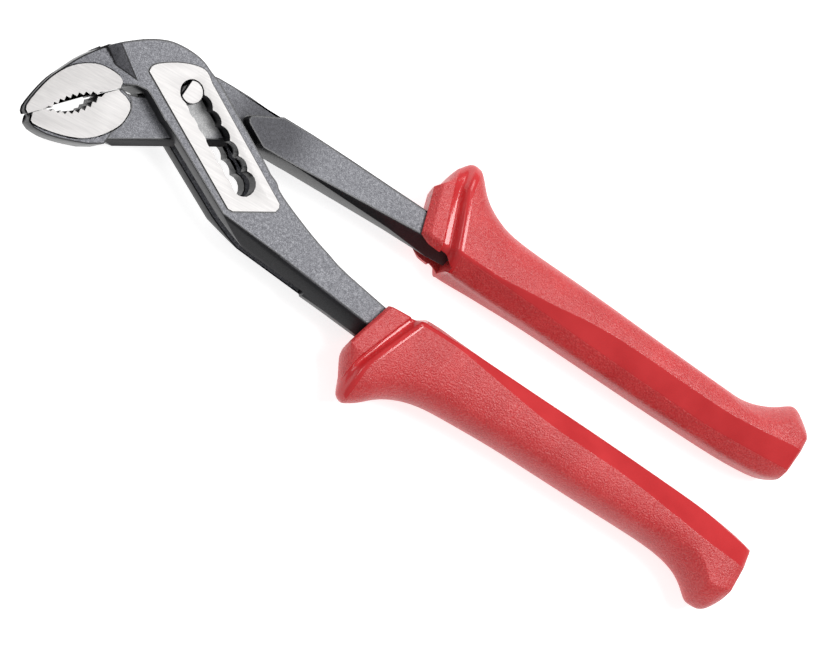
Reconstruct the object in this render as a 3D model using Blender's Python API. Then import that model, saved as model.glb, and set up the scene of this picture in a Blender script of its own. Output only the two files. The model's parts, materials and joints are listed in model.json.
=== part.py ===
"""Tongue and groove pliers with a box joint, a seven-seat slot and moulded grips.

The tool lies flat: +X runs from the jaws to the handle ends, +Z is up, and the grips rest on
z = 0.  Plan points are measured in millimetres from the pivot pin in its first seat, where the
jaws close.  The slotted half carries the upper jaw, the inner half the lower one.
"""
import math

import bmesh
import bpy
from mathutils import Vector

MM = 0.001
PIN_AT = (-0.08465, 0.01497)      # pivot pin in its first seat, in plan

# Thicknesses, all centred on the tool's mid-plane
GRIP_THICK = 19.0                 # moulded grip, over its front and rear flats
HEAD_THICK = 12.0                 # forging at the box joint
PAD_RISE = 0.4                    # ground land above the forging, each side
TONGUE_THICK = 3.4                # tongue that passes through the box
INNER_STEP = 1.0                  # inner shank below the outer forging, each side
SHANK_THICK = 9.6                 # both shanks where they meet the grips
TANG_THICK = 8.0                  # both tangs inside the grips
GAP = 0.3                         # running and seating clearance
EDGE = 0.5                        # bevel on the forgings' outlines

# Pivot pin and its slot
PIN_RADIUS = 3.4
PIN_FLAT = 2.0                    # from the pin's axis to its flat
PIN_PROUD = 0.1                   # pin head above the ground land
PIN_CAP = 1.9                     # pin head over each end of the core
CORE_RADIUS = 2.3
SEATS = 7
SEAT_PITCH = 4.95
SLOT_ANGLE = math.radians(-31.4)
CREST = 2.8                       # slot axis to the crests between the seats
FLAT_ANGLE = math.radians(171.0)  # direction that the pin's flat faces with the jaws shut

# Box joint
BOX_RIGHT = 9.0                   # slot axis to the box's two long edges
BOX_LEFT = 10.8
TONGUE_TOP = 8.7                  # pin to the inner half's upper edge
BOSS_WALL = 3.6                   # tongue left round the pin
TONGUE_BEVEL = 1.9                # how far the tongue's lower edge is drawn to a point
NECK_FALL = 0.5                   # slope of the step from the neck down to the upper jaw

# Jaws
TIP = (-39.2, -27.6)              # where the jaws meet at the nose
BITE_ANGLE = math.radians(42.8)
TEETH = 8
TOOTH_PITCH = 1.93
TOOTH_START = 5.5                 # from the nose to the first tooth root
TOOTH_DEPTH = 1.0

UPPER_JAW_ROOT = (-18.9, -7.0)
LOWER_JAW_ROOT = (-14.0, -13.6)
JAW_DROP = 0.3                    # upper jaw below the neck's face, beside the step
UPPER_JAW_FALL = 0.254            # slope of the jaws' faces towards the nose
LOWER_JAW_FALL = 0.111

# Shanks, where they end inside the grips; the inner one from the pin, the outer from the heel
INNER_SHANK_END = (91.4, 4.2)
INNER_SHANK_EDGE = (51.8, 6.7)    # on the same outer edge, nearer the jaws
OUTER_SHANK_END = (65.0, -21.8)
OUTER_SHANK_EDGE = (39.2, -18.9)
OUTER_SHANK_TOP = (40.0, -7.4)    # on its other edge, and that edge's end
OUTER_SHANK_TOP_END = (65.0, -12.0)
OUTER_SHANK_THIN = 19.0           # where the outer shank starts to get thinner
CHAMFER_FALL = 1.25               # slope of the chamfer under each shank

# Grips
GRIP_LENGTH = 132.6
TANG_COVER = 20.6                 # moulding beyond the tang's end
TANG_WIDTH = 8.0
TANG_TAPER = 0.8                  # the tang's end width as a share of its start
TANG_START = 7.0                  # where the tang leaves the shank, inside the grip
MOUTH_CLEAR = 1.0                 # moulding to the shank's edges and end, in plan
UPPER_GRIP_AT = (77.4, 3.9)
UPPER_GRIP_TURN = math.radians(-4.3)
UPPER_GUARD_LEAN = 0.33           # how far the guard leans back towards the jaws
UPPER_GUARD_REACH = 21.2          # from the grip's axis to the guard's tip
LEAN_STOP = 12.0                  # the guard's tip runs straight out beyond this reach
LOWER_GRIP_FROM_HEEL = (50.6, -16.3)
LOWER_GRIP_TURN = math.radians(-3.1)
LOWER_GUARD_LEAN = 0.46
LOWER_GUARD_REACH = 22.2
GRIP_REACH = 9.8                  # from the grip's axis to its outer side, behind the guard

MID_Z = GRIP_THICK / 2
TANG_LENGTH = GRIP_LENGTH - TANG_COVER
TRAVEL = (SEATS - 1) * SEAT_PITCH
SLIT_THICK = TONGUE_THICK + 2 * GAP
SEAT_RADIUS = PIN_RADIUS + GAP
CHANNEL_WIDTH = PIN_RADIUS + PIN_FLAT + 2.5 * GAP
LAND_Z = HEAD_THICK / 2 + PAD_RISE
CORE_REACH = LAND_Z + PIN_PROUD - PIN_CAP    # half the core's length
FAR = 60.0                        # reach of a cutter past the metal


def along_slot(along, across):
    """Plan point at a distance along the slot and across it, towards the inner handle."""
    c, s = math.cos(SLOT_ANGLE), math.sin(SLOT_ANGLE)
    return (along * c - across * s, along * s + across * c)


HEEL = along_slot(TRAVEL, 0)      # the last seat, which the rest of the slotted half follows


def from_heel(*points):
    return [(HEEL[0] + x, HEEL[1] + y) for x, y in points]


def bite_point(along, height):
    """Plan point on the jaws' closing line, measured from the nose."""
    c, s = math.cos(BITE_ANGLE), math.sin(BITE_ANGLE)
    return (TIP[0] + along * c - height * s, TIP[1] + along * s + height * c)


def arc(centre, radius, start, end, steps):
    """Points on an arc; the angles are in degrees."""
    angles = [math.radians(start + (end - start) * i / steps) for i in range(steps + 1)]
    return [(centre[0] + radius * math.cos(a), centre[1] + radius * math.sin(a)) for a in angles]


def smooth(points, steps):
    """A Catmull-Rom curve through the points, with the ends kept."""
    padded = [points[0]] + list(points) + [points[-1]]
    curve = []
    for a, b, c, d in zip(padded, padded[1:], padded[2:], padded[3:]):
        for i in range(steps):
            t = i / steps
            curve.append(tuple(
                0.5 * (2 * q + (r - p) * t + (2 * p - 5 * q + 4 * r - s) * t * t
                       + (3 * q - p - 3 * r + s) * t ** 3)
                for p, q, r, s in zip(a, b, c, d)))
    return curve + [tuple(points[-1])]


# Building blocks

def remove_all():
    for item in list(bpy.data.objects):
        bpy.data.objects.remove(item, do_unlink=True)


def make_material(name, colour, roughness, metallic):
    material = bpy.data.materials.new(name)
    material.use_nodes = True
    shader = material.node_tree.nodes["Principled BSDF"]
    shader.inputs["Base Color"].default_value = (*colour, 1.0)
    shader.inputs["Roughness"].default_value = roughness
    shader.inputs["Metallic"].default_value = metallic
    return material


def add_object(name, bm):
    """Turn a bmesh in millimetres about the mid-plane into an object at the pin's place."""
    bmesh.ops.recalc_face_normals(bm, faces=bm.faces)
    bmesh.ops.scale(bm, vec=(MM, MM, MM), verts=bm.verts)
    mesh = bpy.data.meshes.new(name)
    bm.to_mesh(mesh)
    bm.free()
    item = bpy.data.objects.new(name, mesh)
    item.location = (PIN_AT[0], PIN_AT[1], MID_Z * MM)
    bpy.context.collection.objects.link(item)
    return item


def slab(outline, low, high):
    """A bmesh of the outline between two heights."""
    bm = bmesh.new()
    face = bm.faces.new([bm.verts.new((x, y, low)) for x, y in outline])
    grown = bmesh.ops.extrude_face_region(bm, geom=[face])
    verts = [item for item in grown["geom"] if isinstance(item, bmesh.types.BMVert)]
    bmesh.ops.translate(bm, vec=(0, 0, high - low), verts=verts)
    bmesh.ops.recalc_face_normals(bm, faces=bm.faces)
    return bm


def even_slab(outline, thick):
    return slab(outline, -thick / 2, thick / 2)


def trim(bm, point, normal):
    """Cut away what lies beyond a plane, and what lies beyond its mirror in the mid-plane."""
    for side in (1, -1):
        geometry = bm.verts[:] + bm.edges[:] + bm.faces[:]
        place = Vector((point[0], point[1], point[2] * side))
        facing = Vector((normal[0], normal[1], normal[2] * side))
        cut = bmesh.ops.bisect_plane(bm, geom=geometry, dist=1e-5, plane_co=place,
                                     plane_no=facing, clear_outer=True)
        rim = [item for item in cut["geom_cut"] if isinstance(item, bmesh.types.BMEdge)]
        bmesh.ops.contextual_create(bm, geom=rim)


def slope(bm, start, towards, height, fall):
    """Slope both faces: from height at start they fall by a rate in the direction towards."""
    angle = math.radians(towards)
    trim(bm, (start[0], start[1], height), (math.cos(angle) * fall, math.sin(angle) * fall, 1.0))


def ease(bm, width):
    """Take the sharp edge off the outline, on both faces."""
    rim = [edge for edge in bm.edges
           if abs(edge.verts[0].co.z - edge.verts[1].co.z) < 0.3 * edge.calc_length()
           and edge.calc_face_angle(0.0) > math.radians(50)]
    bmesh.ops.bevel(bm, geom=rim, offset=width, segments=1, affect="EDGES", clamp_overlap=True)


def combine(item, other, operation):
    """Join or cut with another object, which stays as a hidden wire guide."""
    other.hide_render = True
    other.display_type = "WIRE"
    modifier = item.modifiers.new(operation.title() + " " + other.name, "BOOLEAN")
    modifier.operation = operation
    modifier.object = other


def finish(item, material, smooth_angle=None):
    item.data.materials.append(material)
    if smooth_angle is not None:
        item.data.shade_smooth()
        item.data.set_sharp_from_angle(angle=math.radians(smooth_angle))


# Shared outlines

def bite_line(root_height, root_bow, tooth, lift, back):
    """The teeth of one jaw from the nose backwards; tooth is +1 or -1 towards the other jaw."""
    half = TEETH * TOOTH_PITCH / 2
    middle = TOOTH_START + half
    line = [bite_point(-4.0, lift), bite_point(TOOTH_START - 1.2, lift)]
    for i in range(2 * TEETH + 1):
        along = TOOTH_START + i * TOOTH_PITCH / 2
        root = root_height + root_bow * (1 - ((along - middle) / half) ** 2)
        line.append(bite_point(along, root if i % 2 == 0 else root + tooth * TOOTH_DEPTH))
    return line + [bite_point(middle + half + 1.4, back), bite_point(middle + half + 9.0, back)]


def upper_bite():
    """What is cut from under the upper jaw."""
    line = bite_line(0.5, 1.5, -1, GAP / 2, GAP)
    return line[:-1] + [bite_point(28.2, GAP), bite_point(28.0, -8), bite_point(-4, -8)]


def lower_bite():
    """What is cut from above the lower jaw."""
    line = bite_line(-1.0, -2.6, 1, -GAP / 2, -0.8)
    return line + [bite_point(30.0, 9), bite_point(-4, 9)]


def slot_outline():
    """Seven overlapping seats joined by the channel that the flattened pin slides along."""
    outline = []
    last = SEATS - 1
    for edge, start, ends, seats in ((CREST, 180.0, (0, last), range(SEATS)),
                                     (CHANNEL_WIDTH - CREST, 360.0, (last, 0), range(last, -1, -1))):
        reach = min(math.sqrt(max(SEAT_RADIUS ** 2 - edge ** 2, 0.01)), SEAT_PITCH / 2)
        lip = math.degrees(math.acos(reach / SEAT_RADIUS))
        for seat in seats:
            begin = start if seat == ends[0] else start - lip
            stop = start - 180.0 if seat == ends[1] else start - 180.0 + lip
            seat_arc = arc((seat * SEAT_PITCH, 0), SEAT_RADIUS, begin, stop, 6)
            outline += [along_slot(x, y) for x, y in seat_arc]
    return outline


def land_outline():
    """The ground land round the slot."""
    corner = [(-14.0, -1.0), (-13.9, 0.6), (-12.3, 2.4), (-7.6, 5.3), (-2.8, 7.1), (0.6, 7.5),
              (2.6, 6.6)]
    return smooth(corner, 3) + [along_slot(1.0, 6.6)] + from_heel(
        (12.1, 0.1), (12.5, -1.0), (12.0, -2.4), (0.6, -8.5), (-1.0, -8.6)) + [
        along_slot(-8.0, -8.1)]


def slit_outline():
    """The gap between the box's walls, open wherever the tongue swings and slides."""
    reach = TONGUE_TOP + 0.6
    swing = arc((0, 0), reach, 204, 157, 6)
    side = math.radians(67)
    top = (swing[-1][0] + 14 * math.cos(side), swing[-1][1] + 14 * math.sin(side))
    end = from_heel((34, 2), (29.5, -4), (31.5, -18), (29, -FAR))
    return [(-13.6, -8.4), (-12.6, -6.9)] + swing + [top, (FAR, 30)] + end + [(-2, -26)]


# The two forgings

def upper_jaw():
    outer = smooth([(-39.6, -28.2), (-41.1, -26.4), (-39.5, -19.1), (-37.3, -13.8), (-34.5, -8.8),
                    (-31.9, -4.9), (-26.6, 1.0), (-20.5, 5.6), (-14.0, 9.2)], 3)
    return outer + [(-11.0, 6.0), (-11.2, -5.9), (-15.5, -6.3), (-18.8, -7.9), (-19.6, -11.0),
                    (-24, -17), (-35, -27)]


def upper_lens():
    outer = smooth([(-39.6, -28.2), (-41.0, -26.2), (-39.3, -19.1), (-37.1, -14.0), (-34.0, -9.7),
                    (-29.7, -6.7), (-25.9, -5.7), (-21.6, -6.1), (-19.7, -7.3), (-19.6, -9.0)], 3)
    return outer + [(-21, -13), (-24, -17), (-35, -27)]


def box_body():
    """Neck, box and shank, ending inside the grip."""
    top = smooth([(-27.4, -0.2), (-26.4, 1.2), (-22.8, 4.1), (-18.0, 7.3), (-13.0, 9.6),
                  (-8.6, 10.4), (-3.8, 10.3), (-0.2, 9.5), (2.8, 8.1), along_slot(2.0, BOX_RIGHT)], 3)
    right = [along_slot(TRAVEL - 3.0, BOX_RIGHT)] + smooth(from_heel(
        (6.4, 6.4), (9.0, 5.2), (11.0, 3.4), (17.0, 0.5), (25.4, -2.9), (31.8, -5.0),
        OUTER_SHANK_TOP, OUTER_SHANK_TOP_END), 3)
    left = smooth(from_heel(OUTER_SHANK_END, (52.6, -20.4), OUTER_SHANK_EDGE, (26.6, -17.9),
                            (19.0, -17.3), (11.5, -15.8), (4.6, -13.4), (-1.6, -10.7)), 3)
    throat = [along_slot(8.0, -BOX_LEFT), along_slot(3.0, -BOX_LEFT - 0.3), (-3.4, -11.2),
              (-7.0, -8.9), (-10.5, -6.8), (-12.4, -6.0), (-13.7, -5.8), (-15.5, -6.3),
              (-18.3, -7.7)]
    return top + right + left + throat


def add_slotted_half(material):
    jaw = even_slab(upper_jaw(), HEAD_THICK)
    jaw_z = HEAD_THICK / 2 - JAW_DROP
    slope(jaw, UPPER_JAW_ROOT, 165, jaw_z, UPPER_JAW_FALL)
    body = add_object("slotted_half", jaw)

    lens = even_slab(upper_lens(), HEAD_THICK + 2 * PAD_RISE)
    slope(lens, UPPER_JAW_ROOT, 165, jaw_z + PAD_RISE, UPPER_JAW_FALL)
    combine(body, add_object("upper_lens_guide", lens), "UNION")

    box = even_slab(box_body(), HEAD_THICK)
    thinning = (HEAD_THICK - SHANK_THICK) / 2 / (OUTER_SHANK_END[0] - OUTER_SHANK_THIN)
    slope(box, from_heel((OUTER_SHANK_THIN, 0))[0], 0, HEAD_THICK / 2, thinning)
    slope(box, (-19.7, -2.3), 231, HEAD_THICK / 2, NECK_FALL)
    chamfer_at = from_heel((38.7, -15.7))[0]
    slope(box, chamfer_at, 264, SHANK_THICK / 2 + GAP, CHAMFER_FALL)
    ease(box, EDGE)
    combine(body, add_object("box_guide", box), "UNION")

    tang = even_slab(tang_outline(LOWER_GRIP_TURN, lower_grip_place()), TANG_THICK)
    combine(body, add_object("lower_tang_guide", tang), "UNION")
    combine(body, add_object("land_guide", even_slab(land_outline(), 2 * LAND_Z)), "UNION")

    depth = 2 * LAND_Z + 2
    combine(body, add_object("upper_bite_cutter", even_slab(upper_bite(), depth)), "DIFFERENCE")
    combine(body, add_object("slot_cutter", even_slab(slot_outline(), depth)), "DIFFERENCE")
    combine(body, add_object("slit_cutter", even_slab(slit_outline(), SLIT_THICK)), "DIFFERENCE")
    finish(body, material)


def tongue_outline():
    """Thin web from the lower jaw, round the pin, to the inner shank."""
    boss = PIN_RADIUS + BOSS_WALL
    round_pin = arc((0, 0), boss, 200, 95, 8)
    return [(-19.0, -12.6), (-16.9, -8.9), (-12.6, -7.8), (-8.3, -5.4)] + round_pin + [
        (4.2, TONGUE_TOP - 0.2), (7.4, TONGUE_TOP + 0.1), (12.0, TONGUE_TOP + 0.1),
        (18.0, TONGUE_TOP - 0.1), (30.0, 7.6), (34.0, 4.0), (32.0, -2.6), (26.8, -2.4),
        (-2.3, -17.9), (-12.6, -23.5), (-18.0, -24.0)]


def inner_shank_outline():
    corner = [(28.4, 7.6), (21.0, 4.2), (19.3, 3.2), (19.0, 2.0), (19.6, 1.0)]
    under = [(26.5, -3.2), (38.5, -3.2), (52.0, -3.7), (71.0, -4.3), (INNER_SHANK_END[0], -5.9)]
    return corner + under + [INNER_SHANK_END, (78.3, 5.0), INNER_SHANK_EDGE, (38.5, 7.4)]


def lower_jaw():
    outer = [(-38.6, -28.6), (-38.5, -30.2)] + smooth(
        [(-36.6, -31.0), (-32.5, -31.0), (-27.0, -29.8), (-20.6, -27.7)], 3)
    return outer + [(-16.6, -25.5), (-15.9, -21.6), (-14.2, -18.2), (-13.5, -14.2), (-13.9, -12.0),
                    (-15.0, -10.4), (-16.9, -9.6), (-19.0, -9.4), (-24, -9.4), (-39.6, -23.6)]


def lower_lens():
    outer = smooth([(-38.6, -28.4), (-37.5, -30.1), (-30.6, -29.5), (-24.0, -27.6), (-20.0, -25.1),
                    (-17.0, -21.9), (-14.7, -18.1), (-14.2, -14.0), (-15.0, -11.9), (-17.0, -10.7)],
                   3)
    return outer + [(-19.0, -10.2), (-24, -10.5), (-39.4, -24.2)]


def add_inner_half(material):
    tongue = even_slab(tongue_outline(), TONGUE_THICK)
    edge = math.radians(28.5)
    draw = TONGUE_THICK / 2 / TONGUE_BEVEL
    trim(tongue, (-2.3, -17.9, 0.15), (math.sin(edge) * draw, -math.cos(edge) * draw, 1.0))
    body = add_object("inner_half", tongue)

    start_z = HEAD_THICK / 2 - INNER_STEP
    shank = even_slab(inner_shank_outline(), 2 * start_z)
    slope(shank, (30, 0), 0, start_z, (start_z - SHANK_THICK / 2) / 50)
    slope(shank, (80.0, -1.8), 272, SHANK_THICK / 2, CHAMFER_FALL)
    ease(shank, EDGE)
    combine(body, add_object("inner_shank_guide", shank), "UNION")

    tang = even_slab(tang_outline(UPPER_GRIP_TURN, UPPER_GRIP_AT), TANG_THICK)
    combine(body, add_object("upper_tang_guide", tang), "UNION")

    for name, outline, rise in (("lower_jaw_guide", lower_jaw(), 0.0),
                                ("lower_lens_guide", lower_lens(), PAD_RISE)):
        jaw = even_slab(outline, HEAD_THICK + 2 * rise)
        slope(jaw, LOWER_JAW_ROOT, 200, HEAD_THICK / 2 - JAW_DROP + rise, LOWER_JAW_FALL)
        combine(body, add_object(name, jaw), "UNION")

    bite = even_slab(lower_bite(), 2 * LAND_Z + 2)
    combine(body, add_object("lower_bite_cutter", bite), "DIFFERENCE")
    bore = even_slab(arc((0, 0), CORE_RADIUS + GAP, 0, 337.5, 15), HEAD_THICK)
    combine(body, add_object("pin_bore_cutter", bore), "DIFFERENCE")
    finish(body, material)


# The pivot pin

def flatted_circle(radius, flat):
    """A circle cut off at the flat, which faces FLAT_ANGLE."""
    half = math.degrees(math.acos(flat / radius))
    facing = math.degrees(FLAT_ANGLE)
    return arc((0, 0), radius, facing + half, facing + 360 - half, 24)


def add_pin(material):
    core = even_slab(arc((0, 0), CORE_RADIUS, 0, 345, 23), 2 * CORE_REACH)
    finish(add_object("pin_core", core), material, 40)
    for name, side in (("front_pin_head", 1), ("rear_pin_head", -1)):
        inner, outer = side * SLIT_THICK / 2, side * (LAND_Z + PIN_PROUD)
        outline = flatted_circle(PIN_RADIUS, PIN_FLAT)
        head = add_object(name, slab(outline, min(inner, outer), max(inner, outer)))
        circle = arc((0, 0), CORE_RADIUS + GAP, 0, 345, 23)
        reach = CORE_REACH + GAP
        bore = add_object(name + "_bore_cutter", slab(circle, min(0, side * reach),
                                                      max(0, side * reach)))
        combine(head, bore, "DIFFERENCE")
        finish(head, material, 40)


# The grips

def grip_point(place, turn, along, out):
    c, s = math.cos(turn), math.sin(turn)
    return (place[0] + along * c - out * s, place[1] + along * s + out * c)


def lower_grip_place():
    return from_heel(LOWER_GRIP_FROM_HEEL)[0]


def tang_outline(turn, place):
    half = TANG_WIDTH / 2
    corners = [(TANG_START, half), (TANG_START, -half), (TANG_LENGTH, -half * TANG_TAPER),
               (TANG_LENGTH, half * TANG_TAPER)]
    return [grip_point(place, turn, x, y) for x, y in corners]


def grip_stations(guard):
    """Along, outer and inner reach, share of the thickness, start of the facet, squareness."""
    end = GRIP_LENGTH
    swell = guard - GRIP_REACH
    return [
        (1.8, 10.8, 8.0, 0.74, -2.4, 1.0), (3.4, 11.0, 8.6, 0.84, -2.4, 1.0),
        (7.4, 11.4, 8.8, 0.84, -2.4, 1.0), (7.9, 10.6, 8.6, 0.72, -2.4, 1.0),
        (10.2, GRIP_REACH + 0.5 * swell, 9.6, 0.76, -2.4, 0.8),
        (11.2, GRIP_REACH + 0.86 * swell, 10.0, 0.92, -2.4, 0.7), (12.6, guard, 10.3, 1.0, -2.4, 0.6),
        (15.2, guard - 1.6, 10.3, 1.0, -2.6, 0.5),
        (18.5, GRIP_REACH + 0.46 * swell, 10.3, 1.0, -2.8, 0.35),
        (22.5, GRIP_REACH + 0.18 * swell, 10.2, 1.0, -3.0, 0.15),
        (28.5, GRIP_REACH + 0.02 * swell, 10.0, 1.0, -3.0, 0.0),
        (40.0, GRIP_REACH, 9.8, 1.0, -2.8, 0.0), (60.0, GRIP_REACH - 0.5, 9.5, 1.0, -1.2, 0.0),
        (end - 46, 8.8, 9.0, 1.0, 0.4, 0.0), (end - 26, 8.3, 8.6, 1.0, 1.4, 0.0),
        (end - 16.5, 9.4, 8.3, 1.0, 2.4, 0.0), (end - 10.5, 12.6, 7.8, 1.0, 3.4, 0.0),
        (end - 7.0, 15.3, 7.2, 0.98, 4.0, 0.0), (end - 2.2, 13.6, 6.8, 0.95, 4.4, 0.0),
        (end, 10.4, 5.0, 0.84, 4.4, 0.0)]


def grip_ring(outer, inner, rise, facet, square):
    """One section of a grip, (across, height), from the outer side round to the inner one."""
    top = rise * GRIP_THICK / 2

    def blend(round_share, square_share):
        return round_share + (square_share - round_share) * square

    front = [(outer, top * 0.16), (outer * 0.93, top * blend(0.52, 0.62)),
             (outer * blend(0.70, 0.76), top * blend(0.87, 0.97)),
             (max(outer * 0.3, facet + 1.0), top), (facet, top),
             (-inner * blend(0.52, 0.70), top * blend(0.76, 0.98)),
             (-inner * blend(0.95, 0.97), top * blend(0.30, 0.40))]
    return front + [(y, -z) for y, z in reversed(front)]


def grip_body(place, turn, mirror, lean, guard):
    """The moulding as a loft through its sections; mirror turns it over for the lower handle."""
    bm = bmesh.new()
    rings = []
    for along, outer, inner, rise, facet, square in grip_stations(guard):
        tilt = lean * min(0.55 + along / 24, max(0.0, 1 - along / 40) * 1.5, 1.0)
        ring = []
        for across, height in grip_ring(outer, inner, rise, facet, square):
            x, y = grip_point(place, turn, along - min(across, LEAN_STOP) * tilt, across * mirror)
            ring.append(bm.verts.new((x, y, height)))
        rings.append(ring)
    for ring, following in zip(rings, rings[1:]):
        for i, vert in enumerate(ring):
            j = (i + 1) % len(ring)
            bm.faces.new((vert, ring[j], following[j], following[i]))
    bm.faces.new(rings[0][::-1])
    bm.faces.new(rings[-1])
    return bm


def upper_grip_mouth():
    """Room for the inner shank, open on the side that faces the other handle."""
    (edge_x, edge_y), (end_x, end_y) = INNER_SHANK_EDGE, INNER_SHANK_END
    return [(edge_x, -FAR), (end_x + MOUTH_CLEAR, -FAR), (end_x + MOUTH_CLEAR, end_y + MOUTH_CLEAR),
            (edge_x, edge_y + MOUTH_CLEAR)]


def lower_grip_mouth():
    """Room for the outer shank, closed all round."""
    outer_edge, outer_end, top_edge, top_end = from_heel(OUTER_SHANK_EDGE, OUTER_SHANK_END,
                                                         OUTER_SHANK_TOP, OUTER_SHANK_TOP_END)
    return [(outer_edge[0], outer_edge[1] - MOUTH_CLEAR),
            (outer_end[0] + MOUTH_CLEAR, outer_end[1] - MOUTH_CLEAR),
            (top_end[0] + MOUTH_CLEAR, top_end[1] + MOUTH_CLEAR),
            (top_edge[0], top_edge[1] + MOUTH_CLEAR)]


def add_grip(name, place, turn, mirror, lean, guard, mouth_outline, material):
    """A one-piece moulding with a blind pocket for its tang and a mouth for its shank."""
    grip = add_object(name, grip_body(place, turn, mirror, lean, guard))
    half = TANG_WIDTH / 2 + GAP
    end = half - TANG_WIDTH / 2 * (1 - TANG_TAPER)
    corners = [(TANG_START - GAP, half), (TANG_START - GAP, -half), (TANG_LENGTH + GAP, -end),
               (TANG_LENGTH + GAP, end)]
    pocket = even_slab([grip_point(place, turn, x, y) for x, y in corners], TANG_THICK + 2 * GAP)
    combine(grip, add_object(name + "_pocket_cutter", pocket), "DIFFERENCE")
    mouth = even_slab(mouth_outline, SHANK_THICK + 4 * GAP)
    combine(grip, add_object(name + "_mouth_cutter", mouth), "DIFFERENCE")
    finish(grip, material, 30)


def build():
    remove_all()
    steel = make_material("Forged steel", (0.09, 0.09, 0.10), 0.45, 0.9)
    bright = make_material("Ground steel", (0.80, 0.78, 0.76), 0.30, 1.0)
    red = make_material("Red moulding", (0.62, 0.035, 0.045), 0.35, 0.0)
    add_slotted_half(steel)
    add_inner_half(steel)
    add_pin(bright)
    add_grip("upper_grip", UPPER_GRIP_AT, UPPER_GRIP_TURN, 1, UPPER_GUARD_LEAN,
             UPPER_GUARD_REACH, upper_grip_mouth(), red)
    add_grip("lower_grip", lower_grip_place(), LOWER_GRIP_TURN, -1, LOWER_GUARD_LEAN,
             LOWER_GUARD_REACH, lower_grip_mouth(), red)


build()
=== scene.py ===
import json
import math

import bmesh
import bpy
from mathutils import Matrix, Vector


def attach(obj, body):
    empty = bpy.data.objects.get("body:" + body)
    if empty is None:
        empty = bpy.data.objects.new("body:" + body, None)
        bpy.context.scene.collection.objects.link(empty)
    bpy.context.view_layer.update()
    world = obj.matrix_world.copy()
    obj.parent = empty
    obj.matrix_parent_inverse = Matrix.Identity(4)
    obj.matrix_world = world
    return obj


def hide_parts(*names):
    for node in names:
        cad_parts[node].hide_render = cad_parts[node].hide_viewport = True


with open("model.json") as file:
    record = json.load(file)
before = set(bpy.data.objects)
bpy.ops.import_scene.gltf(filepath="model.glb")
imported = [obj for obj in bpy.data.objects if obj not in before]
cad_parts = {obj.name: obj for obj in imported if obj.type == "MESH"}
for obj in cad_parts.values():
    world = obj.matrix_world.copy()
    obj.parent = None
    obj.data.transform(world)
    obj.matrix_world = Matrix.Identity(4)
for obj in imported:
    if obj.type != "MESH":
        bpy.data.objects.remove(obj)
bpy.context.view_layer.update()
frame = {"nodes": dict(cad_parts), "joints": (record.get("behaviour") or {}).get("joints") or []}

# Tongue and groove pliers: two forged halves, a flatted pin and two moulded grips.
# Plan points are in millimetres from the pivot pin, heights in millimetres from the mid-plane.

mm = 0.001
hinge = next(joint for joint in frame["joints"] if joint["type"] == "hinge")
pinAt = Vector(hinge["pos_m"])


def place(x, y, z):
    return pinAt + Vector((x, y, z)) * mm


def toTool(point):  # the other way round: metres in the scene to millimetres from the pin
    return (point - pinAt) / mm


def pick(piece):
    bpy.ops.object.select_all(action="DESELECT")
    piece.select_set(True)
    bpy.context.view_layer.objects.active = piece


def openMesh(piece, mode="VERT"):  # edit mode, with nothing selected
    pick(piece)
    bpy.ops.object.mode_set(mode="EDIT")
    bpy.ops.mesh.select_mode(type=mode)
    bpy.ops.mesh.select_all(action="DESELECT")


def closeMesh():
    bpy.ops.mesh.select_all(action="DESELECT")
    bpy.ops.object.mode_set(mode="OBJECT")


def apply(piece, modifier):
    pick(piece)
    bpy.ops.object.modifier_apply(modifier=modifier.name)


def settle(piece):  # its place goes into its mesh
    pick(piece)
    bpy.ops.object.transform_apply(location=True, rotation=True, scale=True)


def newMaterial(name):
    material = bpy.data.materials.new(name)
    material.use_nodes = True
    tree = material.node_tree
    return material, tree, tree.nodes["Principled BSDF"]


def addNode(tree, kind, **values):
    node = tree.nodes.new(kind)
    for key, value in values.items():
        setattr(node, key, value)
    return node


def noise(tree, scale, detail, stretch=None, turn=0.0):  # the scale is in waves per metre
    coords = addNode(tree, "ShaderNodeTexCoord")
    texture = addNode(tree, "ShaderNodeTexNoise")
    texture.inputs["Scale"].default_value = scale
    texture.inputs["Detail"].default_value = detail
    source = coords.outputs["Object"]
    if stretch is not None:
        mapping = addNode(tree, "ShaderNodeMapping")
        mapping.inputs["Rotation"].default_value = (0, 0, turn)
        mapping.inputs["Scale"].default_value = stretch
        tree.links.new(source, mapping.inputs["Vector"])
        source = mapping.outputs["Vector"]
    tree.links.new(source, texture.inputs["Vector"])
    return texture.outputs["Fac"]


def ramp(tree, fac, stops):
    node = addNode(tree, "ShaderNodeValToRGB")
    elements = node.color_ramp.elements
    for element, (position, colour) in zip(elements, (stops[0], stops[-1])):
        element.position, element.color = position, (*colour, 1)
    for position, colour in stops[1:-1]:
        elements.new(position).color = (*colour, 1)
    tree.links.new(fac, node.inputs["Fac"])
    return node.outputs["Color"]


def mix(tree, share, first, second, kind="FLOAT"):  # the share is a number or a socket
    node = addNode(tree, "ShaderNodeMix", data_type=kind)
    sockets = [socket for socket in node.inputs if socket.enabled]
    if isinstance(share, float):
        sockets[0].default_value = share
    else:
        tree.links.new(share, sockets[0])
    tree.links.new(first, sockets[1])
    tree.links.new(second, sockets[2])
    return next(socket for socket in node.outputs if socket.enabled)


def bump(tree, shader, height, depth, strength, before=None):  # the depth is in millimetres
    node = addNode(tree, "ShaderNodeBump")
    node.inputs["Strength"].default_value = strength
    node.inputs["Distance"].default_value = depth * mm
    tree.links.new(height, node.inputs["Height"])
    if before is not None:
        tree.links.new(before, node.inputs["Normal"])
    tree.links.new(node.outputs["Normal"], shader.inputs["Normal"])
    return node.outputs["Normal"]


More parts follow.
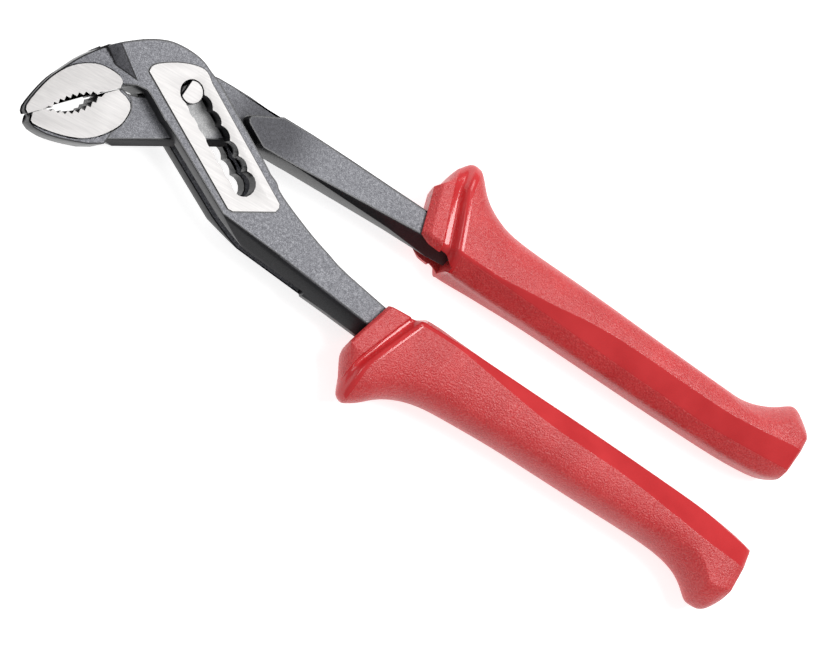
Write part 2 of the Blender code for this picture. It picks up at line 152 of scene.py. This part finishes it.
# The forged skin: a ramp is (noise, colour), a noise (waves in a metre, detail) and a bump
# (depth in millimetres, strength)
forging = dict(
    face=[(0.34, (0.075, 0.076, 0.088)), (0.50, (0.175, 0.177, 0.195)),
          (0.66, (0.35, 0.352, 0.375))],
    # dark: painted shade, on the neck step and in the corner by the head
    dark=[(0.34, (0.022, 0.022, 0.026)), (0.66, (0.095, 0.095, 0.108))],
    worn=[(0.35, (0.26, 0.26, 0.265)), (0.65, (0.55, 0.55, 0.55))],
    # side: near black, the painted shade of the sides, chamfers and borders
    side=[(0.35, (0.004, 0.004, 0.005)), (0.65, (0.018, 0.018, 0.021))],
    mottle=(1100, 3), grain=(3400, 4), scale=(6000, 2), grainShare=0.68,
    metal=0.30, roughness=0.55, grainBump=(0.12, 0.6), scaleBump=(0.04, 0.5),
    sideMetal=0.2, sideRoughness=0.33, sideBump=(0.06, 0.35),
    corner=dict(spot=(26.5, 3.0, 4.8), start=4, stop=21),  # painted shade: the dark corner by the head
    scuff=dict(spot=(6.5, -3.5, 1.7), start=5, stop=9),    # the tongue, where it shows in the slot
)


def nearTo(tree, spot, start, stop):  # 0 near a place on the tool, 1 away from it
    coords = addNode(tree, "ShaderNodeTexCoord")
    apart = addNode(tree, "ShaderNodeVectorMath", operation="DISTANCE")
    apart.inputs[1].default_value = place(*spot)
    tree.links.new(coords.outputs["Object"], apart.inputs[0])
    fade = addNode(tree, "ShaderNodeMapRange", interpolation_type="SMOOTHSTEP")
    fade.inputs["From Min"].default_value = start * mm
    fade.inputs["From Max"].default_value = stop * mm
    tree.links.new(apart.outputs["Value"], fade.inputs["Value"])
    return fade.outputs["Result"]


def makeForged(name, shade="face", shadeAndWear=False):  # phosphated, with a fine blasted grain
    material, tree, shader = newMaterial(name)
    mottle = noise(tree, *forging["mottle"])
    grain = noise(tree, *forging["grain"])
    speckle = mix(tree, forging["grainShare"], mottle, grain)
    colour = ramp(tree, speckle, forging[shade])
    if shadeAndWear:  # painted shade darkens the corner by the head; bright where the slot rubs
        cornerShade = ramp(tree, speckle, forging["dark"])
        colour = mix(tree, nearTo(tree, **forging["corner"]), cornerShade, colour, "RGBA")
        scuffed = ramp(tree, speckle, forging["worn"])
        colour = mix(tree, nearTo(tree, **forging["scuff"]), scuffed, colour, "RGBA")
    tree.links.new(colour, shader.inputs["Base Color"])
    shader.inputs["Metallic"].default_value = forging["metal"]
    shader.inputs["Roughness"].default_value = forging["roughness"]
    first = bump(tree, shader, grain, *forging["grainBump"])
    bump(tree, shader, noise(tree, *forging["scale"]), *forging["scaleBump"], first)
    return material


def makeSideShade(name):  # the sides, chamfers, borders and rounded edges: near black, a painted shade
    material, tree, shader = newMaterial(name)
    grain = noise(tree, *forging["grain"])
    tree.links.new(ramp(tree, grain, forging["side"]), shader.inputs["Base Color"])
    shader.inputs["Metallic"].default_value = forging["sideMetal"]
    shader.inputs["Roughness"].default_value = forging["sideRoughness"]
    bump(tree, shader, grain, *forging["sideBump"])
    return material


# Ground bright, with the wheel's fine lines across the slot
grinding = dict(
    colour=[(0.30, (0.60, 0.585, 0.58)), (0.70, (0.70, 0.68, 0.67))],
    lines=(900, 4), stretch=(0.12, 2.6, 1.0), turn=31.4,
    metal=0.12, roughness=0.50, bump=(0.02, 0.20),
)


def makeGround(name):
    material, tree, shader = newMaterial(name)
    lines = noise(tree, *grinding["lines"], grinding["stretch"], math.radians(grinding["turn"]))
    tree.links.new(ramp(tree, lines, grinding["colour"]), shader.inputs["Base Color"])
    shader.inputs["Metallic"].default_value = grinding["metal"]
    shader.inputs["Roughness"].default_value = grinding["roughness"]
    bump(tree, shader, lines, *grinding["bump"])
    return material


# The red moulding: the glints are painted highlights, light specks on the tips of its grain
moulding = dict(
    colour=[(0.30, (0.50, 0.018, 0.022)), (0.70, (0.60, 0.030, 0.034))],
    glints=[(0.42, (0.48, 0.016, 0.020)), (0.72, (0.86, 0.20, 0.18))],
    cloud=(90, 2), glintGrain=(2100, 3), grain=(2100, 2), skin=(4600, 2),
    specular=0.62, grainStrength=1.0, skinShare=0.25, skinStrength=0.6,
    grained=dict(roughness=0.36, depth=0.30, glintShare=0.28),
    glossy=dict(roughness=0.18, depth=0.03, glintShare=0.0),
)


def makeRed(name, roughness, depth, glintShare):
    material, tree, shader = newMaterial(name)
    tone = ramp(tree, noise(tree, *moulding["cloud"]), moulding["colour"])
    # painted highlights: light specks mixed into the grain colour
    if glintShare:
        paintedGlint = ramp(tree, noise(tree, *moulding["glintGrain"]), moulding["glints"])
        tone = mix(tree, glintShare, tone, paintedGlint, "RGBA")
    tree.links.new(tone, shader.inputs["Base Color"])
    shader.inputs["Roughness"].default_value = roughness
    shader.inputs["Specular IOR Level"].default_value = moulding["specular"]
    grain, skin = noise(tree, *moulding["grain"]), noise(tree, *moulding["skin"])
    first = bump(tree, shader, grain, depth, moulding["grainStrength"])
    bump(tree, shader, skin, depth * moulding["skinShare"], moulding["skinStrength"], first)
    return material


forgedFace = makeForged("forgedFace")
shadeAndWearFace = makeForged("shadeAndWearFace", shadeAndWear=True)
# The step behind the upper jaw: a darker grey, a painted shade
neckShadeFace = makeForged("neckShadeFace", shade="dark")
paintedSideShade = makeSideShade("paintedSideShade")
groundFace = makeGround("groundFace")
redGrain = makeRed("redGrain", **moulding["grained"])
redGloss = makeRed("redGloss", **moulding["glossy"])
print("materials ready")

# The steel pieces are merged copies of the frame's nodes, with painted shade on their sides, in
# dark borders round the grey faces and on their rounded edges.
# A ground face lies on a plane: a point on it, its height there, the way it falls, and how fast.
# A lip lies beside the jaws' closing line: from and to along it, its place off it, and its move.
slottedHalf = dict(
    name="slottedHalf", node="slotted_half", body="outer_handle", slot="forged_steel",
    face=forgedFace,
    ground=[((-18.9, -7.0), 6.1, 165, 0.254), ((0.0, 0.0), 6.4, 0, 0.0)],
    lips=[(-3.0, 4.7, 0.15, -0.10), (21.9, 28.6, 0.30, -0.20)],
)
innerHalf = dict(
    name="innerHalf", node="inner_half", body="inner_handle", slot="forged_steel",
    face=shadeAndWearFace,
    ground=[((-14.0, -13.6), 6.1, 200, 0.111)],
    lips=[(-3.0, 4.7, -0.15, 0.10), (21.9, 31.0, -0.80, 0.60)],
)
frontPinHead = dict(
    name="frontPinHead", node="front_pin_head", body="inner_handle", slot="ground_steel",
    face=forgedFace,
    ground=[((0.0, 0.0), 6.5, 0, 0.0)],
    lips=[],
)
rearPinHead = dict(frontPinHead, name="rearPinHead", node="rear_pin_head")
steel = dict(
    weld=0.004, flatten=0.6,             # doubles within this far, and flat within these degrees
    faceSlope=0.93, faceArea=2,          # a broad face is at least this upright and this large
    neckSlope=0.85, neckArea=4,          # the step behind the upper jaw is a little steeper, and takes a painted shade
    onPlane=0.06, border=0.40,           # a face this near a ground plane is ground
    edge=0.20, edgeAngle=32, edgeSteps=2, smoothAngle=28,
    nose=(-39.2, -27.6), bite=42.8, lipReach=0.05,  # the closing line: its start and its angle
)
onSide, onFace, onGround, onNeck = range(4)


def closeLips(bm, half):  # the shut lips rest a hair apart, so no light shows between them
    c, s = math.cos(math.radians(steel["bite"])), math.sin(math.radians(steel["bite"]))
    for vertex in bm.verts:
        spot = toTool(vertex.co)
        x, y = spot.x - steel["nose"][0], spot.y - steel["nose"][1]
        along, off = x * c + y * s, y * c - x * s
        for start, stop, line, shift in half["lips"]:
            if start < along < stop and abs(off - line) < steel["lipReach"]:
                vertex.co += Vector((-s, c, 0)) * shift * mm


def isGround(half, centre):
    for (x, y), height, towards, fall in half["ground"]:
        angle = math.radians(towards)
        run = (centre.x - x) * math.cos(angle) + (centre.y - y) * math.sin(angle)
        if abs(abs(centre.z) - (height - fall * run)) < steel["onPlane"]:
            return True
    return False


# A face that is not broad and upright takes the near-black side colour, a painted shade
def finishOf(half, face):
    upright, area = abs(face.normal.z), face.calc_area() / mm ** 2
    if upright > steel["faceSlope"] and area > steel["faceArea"]:
        return onGround if isGround(half, toTool(face.calc_center_median())) else onFace
    if upright > steel["neckSlope"] and area > steel["neckArea"]:
        return onNeck
    return onSide


def makeSteel(half):
    node = frame["nodes"][half["node"]]
    piece = bpy.data.objects.new(half["name"], node.data.copy())
    piece.data.name = half["name"]
    bpy.context.scene.collection.objects.link(piece)
    piece.data.materials.clear()
    for material in (paintedSideShade, half["face"], groundFace, neckShadeFace):
        piece.data.materials.append(material)
    openMesh(piece)
    bpy.ops.mesh.select_all(action="SELECT")
    bpy.ops.mesh.remove_doubles(threshold=steel["weld"] * mm)
    bpy.ops.mesh.dissolve_limited(angle_limit=math.radians(steel["flatten"]))
    bpy.ops.mesh.select_all(action="DESELECT")
    bpy.ops.mesh.select_mode(type="FACE")
    bm = bmesh.from_edit_mesh(piece.data)
    closeLips(bm, half)
    for face in bm.faces:
        face.smooth = False
        face.material_index = finishOf(half, face)
        face.select_set(face.material_index == onFace)
    bmesh.update_edit_mesh(piece.data)
    if any(face.select for face in bm.faces):  # a painted shade: a dark border round each grey face
        bpy.ops.mesh.inset(thickness=steel["border"] * mm, depth=0.0, use_even_offset=True,
                           use_boundary=True, use_select_inset=True)
        bm = bmesh.from_edit_mesh(piece.data)
        for face in bm.faces:
            if face.select:
                face.material_index = onSide
        bmesh.update_edit_mesh(piece.data)
    closeMesh()
    bevel = piece.modifiers.new("rounded edges", "BEVEL")
    bevel.limit_method = "ANGLE"
    bevel.angle_limit = math.radians(steel["edgeAngle"])
    bevel.width = steel["edge"] * mm
    bevel.segments = steel["edgeSteps"]
    bevel.use_clamp_overlap = True
    # the rounded edges take the near-black side colour, a painted shade
    bevel.material = onSide
    apply(piece, bevel)
    bpy.ops.object.shade_smooth_by_angle(angle=math.radians(steel["smoothAngle"]))
    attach(piece, half["body"])
    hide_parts(half["node"])


for half in (slottedHalf, innerHalf, frontPinHead, rearPinHead):
    makeSteel(half)
pinCore = frame["nodes"]["pin_core"]
pinCore.data.materials.clear()
pinCore.data.materials.append(groundFace)
print("steel pieces ready")

# Each profile is a short list of (distance along the grip, value), joined by a smooth curve.
# outer and inner are the two sides, top the front, corner where the outer facet ends, and
# lineA and lineB the two edges of the long glossy facet; the mouth is cut for the shank.
upperGrip = dict(
    name="upperGrip", node="upper_grip", body="inner_handle", slot="red_moulding",
    at=(77.4, 3.9), turn=-4.3, side=1, lean=0.33,
    rows=dict(start=1.1, face=3.9, rim=7.8, foot=10.2, fold=13.2, end=131.8),
    outer=[(1.1, 8.6), (3.0, 9.8), (4.1, 11.0), (5.4, 14.2), (6.6, 17.2), (9.1, 20.2),
           (11.6, 21.9), (14.2, 21.7), (16.1, 19.5), (17.9, 16.8), (21.5, 13.6), (28.3, 10.6),
           (36, 10.0), (51, 9.9), (84, 9.1), (103, 8.8), (110, 9.1), (116, 11.0), (121.5, 13.9),
           (125.2, 16.6), (125.8, 16.7), (131.0, 13.2), (131.8, 12.6)],
    corner=[(1.1, 8.2), (3.9, 10.4), (7.8, 11.0), (8.1, 10.6), (10.2, 11.2), (13.2, 13.0),
            (36, 5.0), (107, 1.6), (117, 4.0), (122.5, 7.0), (125.4, 9.8), (131.8, 8.0)],
    facet=[(7.8, 1.0), (8.6, 0.8), (10.6, 0.0), (104, 0.0), (118, 1.0)],
    inner=[(1.1, 7.6), (3.9, 8.6), (7.8, 8.8), (8.1, 8.4), (10.2, 8.8), (12.5, 10.0), (15, 10.3),
           (26, 10.2), (46, 9.5), (86, 9.0), (105, 8.6), (115, 8.2), (123, 7.4), (128, 6.4),
           (131.8, 4.6)],
    top=[(1.1, 5.7), (3.9, 7.4), (7.8, 7.5), (8.1, 6.5), (10.2, 6.5), (11.2, 8.2), (12.2, 9.3),
         (13.2, 9.5), (126, 9.4), (130.6, 9.1), (131.8, 8.0)],
    lineA=[(1.1, -4.2), (25, -4.2), (36, -3.0), (48, -1.6), (57, 0.0), (71, 1.0), (104, 1.1),
           (117, 2.4), (129, 4.2)],
    lineB=[(1.1, -5.2), (100, -4.9), (120, -3.4), (131, -2.2)],
    crease=[(15, 0.9), (45, 0.0)],
    mouth=dict(end=15.7, outer=1.5, inner=-30, half=5.05),
)
lowerGrip = dict(
    name="lowerGrip", node="lower_grip", body="outer_handle", slot="red_moulding",
    at=(75.95, -31.77), turn=-3.1, side=-1, lean=0.46,
    rows=dict(start=0.9, face=2.1, rim=7.3, foot=8.8, fold=11.3, end=132.6),
    outer=[(0.9, 9.0), (2.1, 11.0), (3.4, 13.2), (4.6, 14.4), (6.3, 15.2), (7.4, 19.0),
           (9.0, 21.9), (12.1, 22.9), (15.1, 21.4), (17.4, 18.6), (21.6, 14.8), (26.5, 12.2),
           (31, 10.9), (36, 10.4), (57, 9.2), (84, 8.9), (103, 8.5), (110, 9.2), (116, 10.6),
           (121.5, 13.4), (125.2, 16.5), (128.6, 16.6), (131.4, 14.6), (132.6, 12.0)],
    corner=[(0.9, 7.4), (2.1, 8.2), (7.3, 8.6), (7.6, 8.4), (8.8, 9.4), (11.8, 12.0),
            (36, 5.0), (107, 0.9), (117, 3.2), (122.5, 6.2), (125.4, 9.4), (132.6, 8.0)],
    facet=[(7.3, 1.0), (8.0, 0.8), (9.4, 0.0), (102, 0.0), (117, 1.0)],
    inner=[(0.9, 7.0), (2.1, 8.0), (7.3, 8.2), (7.6, 7.8), (8.8, 8.6), (11.3, 10.6), (14, 10.9),
           (26, 10.4), (46, 9.8), (66, 9.8), (90, 9.4), (108, 8.8), (122, 8.0), (129, 7.0),
           (132.6, 5.4)],
    top=[(0.9, 6.2), (2.1, 7.5), (7.3, 7.6), (7.6, 6.7), (8.8, 6.7), (9.7, 8.3), (10.4, 9.2),
         (11.3, 9.5), (126, 9.4), (131.2, 9.1), (132.6, 8.0)],
    lineA=[(0.9, -6.4), (24, -7.0), (31, -6.4), (48, -4.4), (65, -2.7), (85, -2.6), (107, -0.8),
           (119, 0.4), (131, 0.9)],
    lineB=[(0.9, -7.2), (14, -8.2), (50, -8.7), (110, -7.8), (131, -5.4)],
    crease=[(15, 0.3), (45, 0.0)],
    mouth=dict(end=15.4, outer=4.9, inner=-5.4, half=5.35),
)
gripShape = dict(
    ringPoints=34, smoothing=2, endCrease=0.75, smoothAngle=38,
    outerSteps=(0.0, 0.40, 0.80, 0.95, 1.0, 1.05, 1.20, 1.60),  # 1 is the outer facet's corner
    fullness=2.25, shoulder=1.5, cornerHeight=0.95, cornerInside=0.4,
    facetTop=0.985, facetFall=0.24, facetWide=5.5, facetLeast=0.5,  # a wide facet drops further
    softA=0.35, softNarrow=0.5, narrow=3,       # how far each corner is rounded
    softB=0.7, softCollar=0.6, softBody=1.6, softMost=0.45,
    frontFall=0.36,                             # the inner edge's height, as a share of the top
    rearFall=[(0, 0.93), (13, 0.88), (18, 0.8), (27, 0.6), (45, 0.5)],
    leanStart=0.74, leanRise=31, leanStop=12, leanFade=40, leanRun=26,
    slant=0.27, slantFrom=6, slantRun=13,       # the rear of the collar starts further back
    glossBand=(9, 11),                          # the long facet's places round a ring
    mouthFrom=-8, pocketOverlap=2, pocketEnd=112.4, pocketHalf=4.3,
    # rings crowd where the collar turns: a row and a step from it, or two rows for halfway
    collarRings=[("start", 0), ("start", 0.35), ("face", -0.3), ("face", 0.2), ("face", "rim"),
                 ("rim", -0.25), ("rim", 0), ("rim", 0.3), ("rim", 0.6), ("foot", -0.2),
                 ("foot", 0.3), ("foot", "fold"), ("fold", -0.9), ("fold", -0.3), ("fold", 0.3),
                 ("fold", 1.2)],
    bodyGap=0.8, bodyRings=(16, 18, 20.5, 23.5, 27, 31, 36, 42, 49, 57, 66, 75, 84, 92, 99, 105,
                            110, 114, 117.5, 120.5, 123, 124.8, 125.8, 127.2, 129.2, 130.8),
    lastGap=0.3,
)


def follow(points, along):  # a smooth value along a profile, with no overshoot between its points
    if along <= points[0][0]:
        return points[0][1]
    if along >= points[-1][0]:
        return points[-1][1]
    i = max(k for k in range(len(points) - 1) if points[k][0] <= along)

    def slope(k):
        if k < 0 or k > len(points) - 2:
            return None
        return (points[k + 1][1] - points[k][1]) / (points[k + 1][0] - points[k][0])

    def tangent(k):
        before, after = slope(k - 1), slope(k)
        if before is None or after is None:
            return after if before is None else before
        return 0.0 if before * after <= 0 else 2 * before * after / (before + after)

    (x0, y0), (x1, y1) = points[i], points[i + 1]
    h = x1 - x0
    t = (along - x0) / h
    return (y0 * (1 + 2 * t) * (1 - t) ** 2 + tangent(i) * h * t * (1 - t) ** 2
            + y1 * t * t * (3 - 2 * t) + tangent(i + 1) * h * t * t * (t - 1))


def blendPoints(first, last, share):
    return tuple(a + (b - a) * share for a, b in zip(first, last))


def rounded(before, corner, after, size):  # three points in place of a corner
    def towards(other):
        share = min(size / math.dist(corner, other), gripShape["softMost"])
        return blendPoints(corner, other, share)
    first, last = towards(before), towards(after)
    middle = tuple(0.25 * a + 0.5 * b + 0.25 * c for a, b, c in zip(first, corner, last))
    return [first, middle, last]


def superOval(start, reach, height, angle, power):  # fuller than an ellipse above a power of 2
    return (start + reach * math.cos(angle) ** (2 / power),
            height * math.sin(angle) ** (2 / power))


# A section as (across, height): from the outer side over the front to the inner side, and back
def gripRing(grip, along):
    shape = gripShape
    outer, inner, top, facet, lineA, lineB = (
        follow(grip[key], along) for key in ("outer", "inner", "top", "facet", "lineA", "lineB"))
    cornerAt = min(follow(grip["corner"], along), outer - shape["cornerInside"])
    corner, edgeA = (cornerAt, top * shape["cornerHeight"]), (lineA, top)
    outside = []
    for share in shape["outerSteps"]:
        angle = math.pi / 4 * share
        oval = superOval(lineA, outer - lineA, top, angle, shape["fullness"])
        if share <= 1:
            flat = superOval(cornerAt, outer - cornerAt, corner[1], 2 * angle, shape["shoulder"])
        else:
            flat = blendPoints(corner, edgeA, share - 1)
        outside.append(blendPoints(oval, flat, facet))
    wide = min(max((lineA - lineB) / shape["facetWide"], 0.0), 1.0)
    edgeB = (min(lineB, lineA - shape["facetLeast"]),
             top * (shape["facetTop"] - shape["facetFall"] * wide))
    softA = shape["softA"] if lineA - lineB > shape["narrow"] else shape["softNarrow"]
    softI = shape["softCollar"] if along < grip["rows"]["fold"] else shape["softBody"]
    middle = (follow(grip["crease"], along) - inner, 0.0)

    def inside(fall):
        edgeI = (-inner, top * fall)
        return (rounded(outside[-1], edgeA, edgeB, softA)
                + rounded(edgeA, edgeB, edgeI, shape["softB"])
                + rounded(edgeB, edgeI, middle, softI))

    front = outside + inside(shape["frontFall"])
    rear = outside + inside(follow(shape["rearFall"], along))
    return front + [middle] + [(a, -z) for a, z in reversed(rear[1:])]


def fromGrip(grip, along, across, height):  # from the grip's own directions to the tool's
    turn = math.radians(grip["turn"])
    across *= grip["side"]
    return place(grip["at"][0] + along * math.cos(turn) - across * math.sin(turn),
                 grip["at"][1] + along * math.sin(turn) + across * math.cos(turn), height)


def leanBack(grip, along, across, height):  # the collar and guard lean back towards the jaws
    shape = gripShape
    fade = max(0.0, min(1.0, (shape["leanFade"] - along) / shape["leanRun"]))
    tilt = grip["lean"] * min(shape["leanStart"] + along / shape["leanRise"], 1.0) * fade
    fromStart = (along - grip["rows"]["start"]) / shape["slantRun"]
    along += shape["slant"] * (shape["slantFrom"] - height) * max(0.0, 1 - fromStart)
    return along - min(across, shape["leanStop"]) * tilt


def gripStations(rows):
    stations = [(rows[row] + rows[step]) / 2 if step in rows else rows[row] + step
                for row, step in gripShape["collarRings"]]
    clear = stations[-1] + gripShape["bodyGap"]
    stations += [station for station in gripShape["bodyRings"] if station > clear]
    return stations + [rows["end"] - gripShape["lastGap"], rows["end"]]


def makeGrip(grip):
    rows, count = grip["rows"], gripShape["ringPoints"]
    stations = gripStations(rows)
    length, middle = stations[-1] - stations[0], (stations[0] + stations[-1]) / 2
    bpy.ops.object.select_all(action="DESELECT")
    bpy.ops.mesh.primitive_cylinder_add(vertices=count, radius=10 * mm, depth=length * mm,
                                        location=(middle * mm, 0, 0),
                                        rotation=(0, math.pi / 2, 0))
    piece = bpy.context.object
    piece.name = piece.data.name = grip["name"]
    settle(piece)
    openMesh(piece)
    for station in stations[1:-1]:
        bpy.ops.mesh.select_all(action="SELECT")
        bpy.ops.mesh.bisect(plane_co=(station * mm, 0, 0), plane_no=(1, 0, 0))
    closeMesh()

    piece.data.materials.append(redGrain)
    piece.data.materials.append(redGloss)
    spots = []  # each vertex's ring, and its place round it
    for vertex in piece.data.vertices:
        ring = min(range(len(stations)), key=lambda k: abs(stations[k] * mm - vertex.co.x))
        around = math.atan2(vertex.co.z, vertex.co.y) / (2 * math.pi) * count
        spots.append((ring, round(around) % count))
    for face in piece.data.polygons:
        station = stations[min(spots[index][0] for index in face.vertices)]
        around = sorted(spots[index][1] for index in face.vertices)
        first = around[0] if around[-1] - around[0] < count / 2 else around[-1]
        mirrored = min(first, count - 1 - first)
        low, high = gripShape["glossBand"]
        wall = rows["rim"] <= station < rows["fold"]
        inside = low <= mirrored <= high and station > rows["fold"]
        face.material_index = int((wall or inside) and len(face.vertices) == 4)
    rings = [gripRing(grip, station) for station in stations]
    for vertex, (ring, around) in zip(piece.data.vertices, spots):
        across, height = rings[ring][around]
        along = leanBack(grip, stations[ring], across, height)
        vertex.co = fromGrip(grip, along, across, height)

    openMesh(piece, "FACE")
    bpy.ops.mesh.select_all(action="SELECT")
    bpy.ops.mesh.normals_make_consistent(inside=False)
    bpy.ops.mesh.select_all(action="DESELECT")
    bm = bmesh.from_edit_mesh(piece.data)
    for face in bm.faces:
        face.select_set(len(face.verts) > 4)
    bmesh.update_edit_mesh(piece.data)
    bpy.ops.mesh.region_to_loop()  # the two ends keep a firm edge
    bpy.ops.transform.edge_crease(value=gripShape["endCrease"])
    closeMesh()
    smooth = piece.modifiers.new("smooth", "SUBSURF")
    smooth.levels = smooth.render_levels = gripShape["smoothing"]
    apply(piece, smooth)
    cutMouth(piece, grip)
    pick(piece)
    bpy.ops.object.shade_smooth_by_angle(angle=math.radians(gripShape["smoothAngle"]))
    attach(piece, grip["body"])
    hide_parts(grip["node"])


def cutBlock(piece, grip, start, stop, outer, inner, half):  # a box in the grip's own directions
    bpy.ops.object.select_all(action="DESELECT")
    bpy.ops.mesh.primitive_cube_add(size=1)
    block = bpy.context.object
    block.scale = ((stop - start) * mm, (outer - inner) * mm, 2 * half * mm)
    block.rotation_euler = (0, 0, math.radians(grip["turn"]))
    block.location = fromGrip(grip, (start + stop) / 2, (outer + inner) / 2, 0)
    settle(block)
    cut = piece.modifiers.new("cut", "BOOLEAN")
    cut.operation = "DIFFERENCE"
    cut.object = block
    apply(piece, cut)
    bpy.data.objects.remove(block)


def cutMouth(piece, grip):
    mouth, tang = grip["mouth"], gripShape["pocketHalf"]
    cutBlock(piece, grip, gripShape["mouthFrom"], mouth["end"], mouth["outer"], mouth["inner"],
             mouth["half"])
    cutBlock(piece, grip, mouth["end"] - gripShape["pocketOverlap"], gripShape["pocketEnd"],
             tang, -tang, tang)


makeGrip(upperGrip)
makeGrip(lowerGrip)
print("grips ready")

# The camera looks from a tilt off the face's normal, towards a direction in plan
studio = dict(
    floor=4.0, paper=0.60, paperRoughness=0.9, paperGlow=0.76,
    tilt=24.0, towards=218.4, roll=27.6, distance=8.0, width=0.2316,
    right=0.0620, down=0.0652, face=6.3, sensor=36, sight=40, world=0.33,
    lights=[("above", (0.40, 0.32, 1.15), 0.60, 11.5),  # its place, size and power
            ("key", (-0.1, 0.95, 0.75), 0.5, 3),
            ("left", (-0.95, -0.05, 0.80), 0.5, 2.2)],
)

bpy.ops.object.select_all(action="DESELECT")
bpy.ops.mesh.primitive_plane_add(size=studio["floor"], location=(0, 0, 0))
floor = bpy.context.object
floor.name = "floor"
paper, tree, shader = newMaterial("paper")
shader.inputs["Base Color"].default_value = (*[studio["paper"]] * 3, 1)
shader.inputs["Roughness"].default_value = studio["paperRoughness"]
shader.inputs["Emission Color"].default_value = (1, 1, 1, 1)
shader.inputs["Emission Strength"].default_value = studio["paperGlow"]
floor.data.materials.append(paper)

tilt, towards, roll = (math.radians(studio[key]) for key in ("tilt", "towards", "roll"))
lean = Vector((math.cos(towards), math.sin(towards), 0))
up = Vector((0, 0, 1))
level = Vector((math.cos(roll), math.sin(roll), 0))
alongTilt = lean * math.cos(tilt) - up * math.sin(tilt)
acrossTilt = up.cross(lean)
toCamera = (lean * math.sin(tilt) + up * math.cos(tilt)).normalized()
right = (alongTilt * level.dot(lean) + acrossTilt * level.dot(acrossTilt)).normalized()
above = toCamera.cross(right)
centre = place(0, 0, studio["face"]) + right * studio["right"] - above * studio["down"]
camera = bpy.data.objects.new("camera", bpy.data.cameras.new("camera"))
bpy.context.scene.collection.objects.link(camera)
camera.matrix_world = (Matrix.Translation(centre + toCamera * studio["distance"])
                       @ Matrix((right, above, toCamera)).transposed().to_4x4())
camera.data.sensor_width = studio["sensor"]
camera.data.lens = studio["sensor"] * studio["distance"] / studio["width"]
camera.data.clip_end = studio["sight"]
bpy.context.scene.camera = camera

for name, spot, size, power in studio["lights"]:
    light = bpy.data.objects.new(name, bpy.data.lights.new(name, "AREA"))
    light.data.shape = "SQUARE"
    light.data.size = size
    light.data.energy = power
    light.location = spot
    light.rotation_euler = Vector(spot).to_track_quat("Z", "Y").to_euler()
    bpy.context.scene.collection.objects.link(light)
world = bpy.data.worlds.new("studio")
world.use_nodes = True
background = world.node_tree.nodes["Background"]
background.inputs["Color"].default_value = (1, 1, 1, 1)
background.inputs["Strength"].default_value = studio["world"]
bpy.context.scene.world = world
bpy.context.scene.view_settings.view_transform = "Standard"
print("studio ready")
